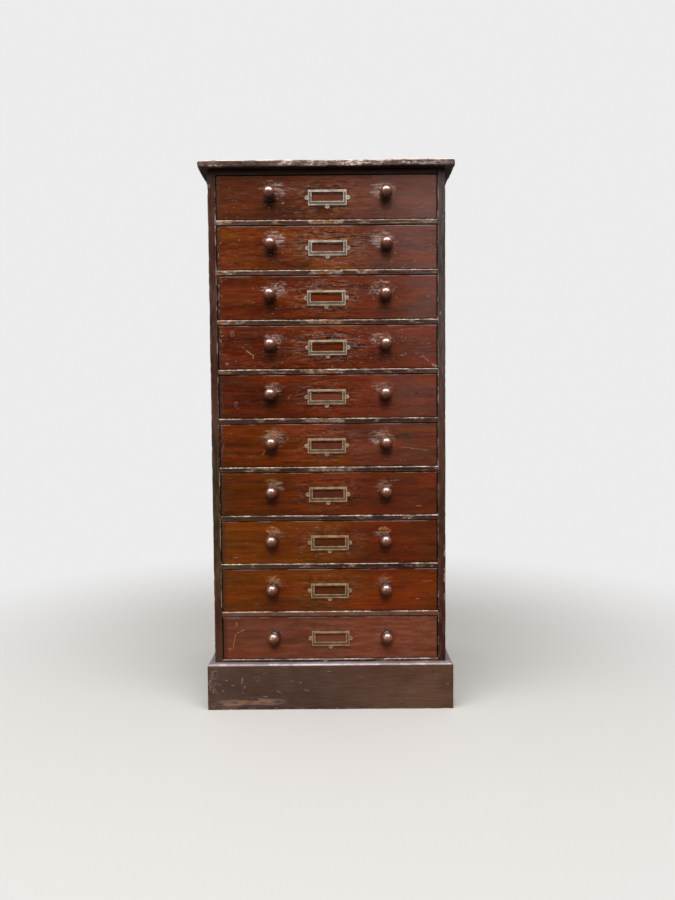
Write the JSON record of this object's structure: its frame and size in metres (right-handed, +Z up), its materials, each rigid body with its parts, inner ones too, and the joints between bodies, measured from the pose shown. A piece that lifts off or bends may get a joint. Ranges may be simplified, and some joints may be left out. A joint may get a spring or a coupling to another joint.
{
  "type": "specimen chest",
  "caption": "Tall narrow wooden chest of equal shallow drawers with turned knobs and brass label holders, an overhanging top and a plinth base.",
  "frame": {"origin": "on the floor under the centre of the whole chest", "axes": "+Z up, the drawer fronts face -Y, +X to the viewer's right when facing the drawers"},
  "size_m": [0.568, 0.4634, 1.232],
  "materials": {
    "case_wood": "dark brown stain and old polish, worn to pale wood along the arrises",
    "front_wood": "red-brown polished mahogany, glossy, finely scratched",
    "knob_wood": "turned mahogany, polished by handling",
    "inner_pine": "bare planed pine, dry and darkened with age",
    "brass": "cast brass, dull and aged brown",
    "steel": "old steel, dark"
  },
  "bodies": {
    "case": {"side_left": "case_wood", "side_right": "case_wood", "top_board": "case_wood", "top_rail_front": "case_wood", "drawer_rails": "case_wood", "plinth_front": "case_wood", "plinth_left": "case_wood", "plinth_right": "case_wood", "bottom_board": "inner_pine", "top_rail_back": "inner_pine", "runners_left": "inner_pine", "runners_right": "inner_pine", "kickers": "inner_pine", "drawer_stops": "inner_pine", "back_boards": "inner_pine", "plinth_back": "inner_pine", "glue_blocks": "inner_pine", "top_screws": "steel", "back_nails": "steel"},
    "drawer_01": {"drawer_01_front": "front_wood", "drawer_01_box": "inner_pine", "drawer_01_knobs": "knob_wood", "drawer_01_label_holder": "brass"},
    "drawer_02": {"drawer_02_front": "front_wood", "drawer_02_box": "inner_pine", "drawer_02_knobs": "knob_wood", "drawer_02_label_holder": "brass"},
    "drawer_03": {"drawer_03_front": "front_wood", "drawer_03_box": "inner_pine", "drawer_03_knobs": "knob_wood", "drawer_03_label_holder": "brass"},
    "drawer_04": {"drawer_04_front": "front_wood", "drawer_04_box": "inner_pine", "drawer_04_knobs": "knob_wood", "drawer_04_label_holder": "brass"},
    "drawer_05": {"drawer_05_front": "front_wood", "drawer_05_box": "inner_pine", "drawer_05_knobs": "knob_wood", "drawer_05_label_holder": "brass"},
    "drawer_06": {"drawer_06_front": "front_wood", "drawer_06_box": "inner_pine", "drawer_06_knobs": "knob_wood", "drawer_06_label_holder": "brass"},
    "drawer_07": {"drawer_07_front": "front_wood", "drawer_07_box": "inner_pine", "drawer_07_knobs": "knob_wood", "drawer_07_label_holder": "brass"},
    "drawer_08": {"drawer_08_front": "front_wood", "drawer_08_box": "inner_pine", "drawer_08_knobs": "knob_wood", "drawer_08_label_holder": "brass"},
    "drawer_09": {"drawer_09_front": "front_wood", "drawer_09_box": "inner_pine", "drawer_09_knobs": "knob_wood", "drawer_09_label_holder": "brass"},
    "drawer_10": {"drawer_10_front": "front_wood", "drawer_10_box": "inner_pine", "drawer_10_knobs": "knob_wood", "drawer_10_label_holder": "brass"}
  },
  "joints": [
    {"name": "drawer_01_slide", "type": "slide", "parent": "case", "child": "drawer_01", "axis": [0, -1, 0], "range_m": [0, 0.34]},
    {"name": "drawer_02_slide", "type": "slide", "parent": "case", "child": "drawer_02", "axis": [0, -1, 0], "range_m": [0, 0.34]},
    {"name": "drawer_03_slide", "type": "slide", "parent": "case", "child": "drawer_03", "axis": [0, -1, 0], "range_m": [0, 0.34]},
    {"name": "drawer_04_slide", "type": "slide", "parent": "case", "child": "drawer_04", "axis": [0, -1, 0], "range_m": [0, 0.34]},
    {"name": "drawer_05_slide", "type": "slide", "parent": "case", "child": "drawer_05", "axis": [0, -1, 0], "range_m": [0, 0.34]},
    {"name": "drawer_06_slide", "type": "slide", "parent": "case", "child": "drawer_06", "axis": [0, -1, 0], "range_m": [0, 0.34]},
    {"name": "drawer_07_slide", "type": "slide", "parent": "case", "child": "drawer_07", "axis": [0, -1, 0], "range_m": [0, 0.34]},
    {"name": "drawer_08_slide", "type": "slide", "parent": "case", "child": "drawer_08", "axis": [0, -1, 0], "range_m": [0, 0.34]},
    {"name": "drawer_09_slide", "type": "slide", "parent": "case", "child": "drawer_09", "axis": [0, -1, 0], "range_m": [0, 0.34]},
    {"name": "drawer_10_slide", "type": "slide", "parent": "case", "child": "drawer_10", "axis": [0, -1, 0], "range_m": [0, 0.34]}
  ]
}
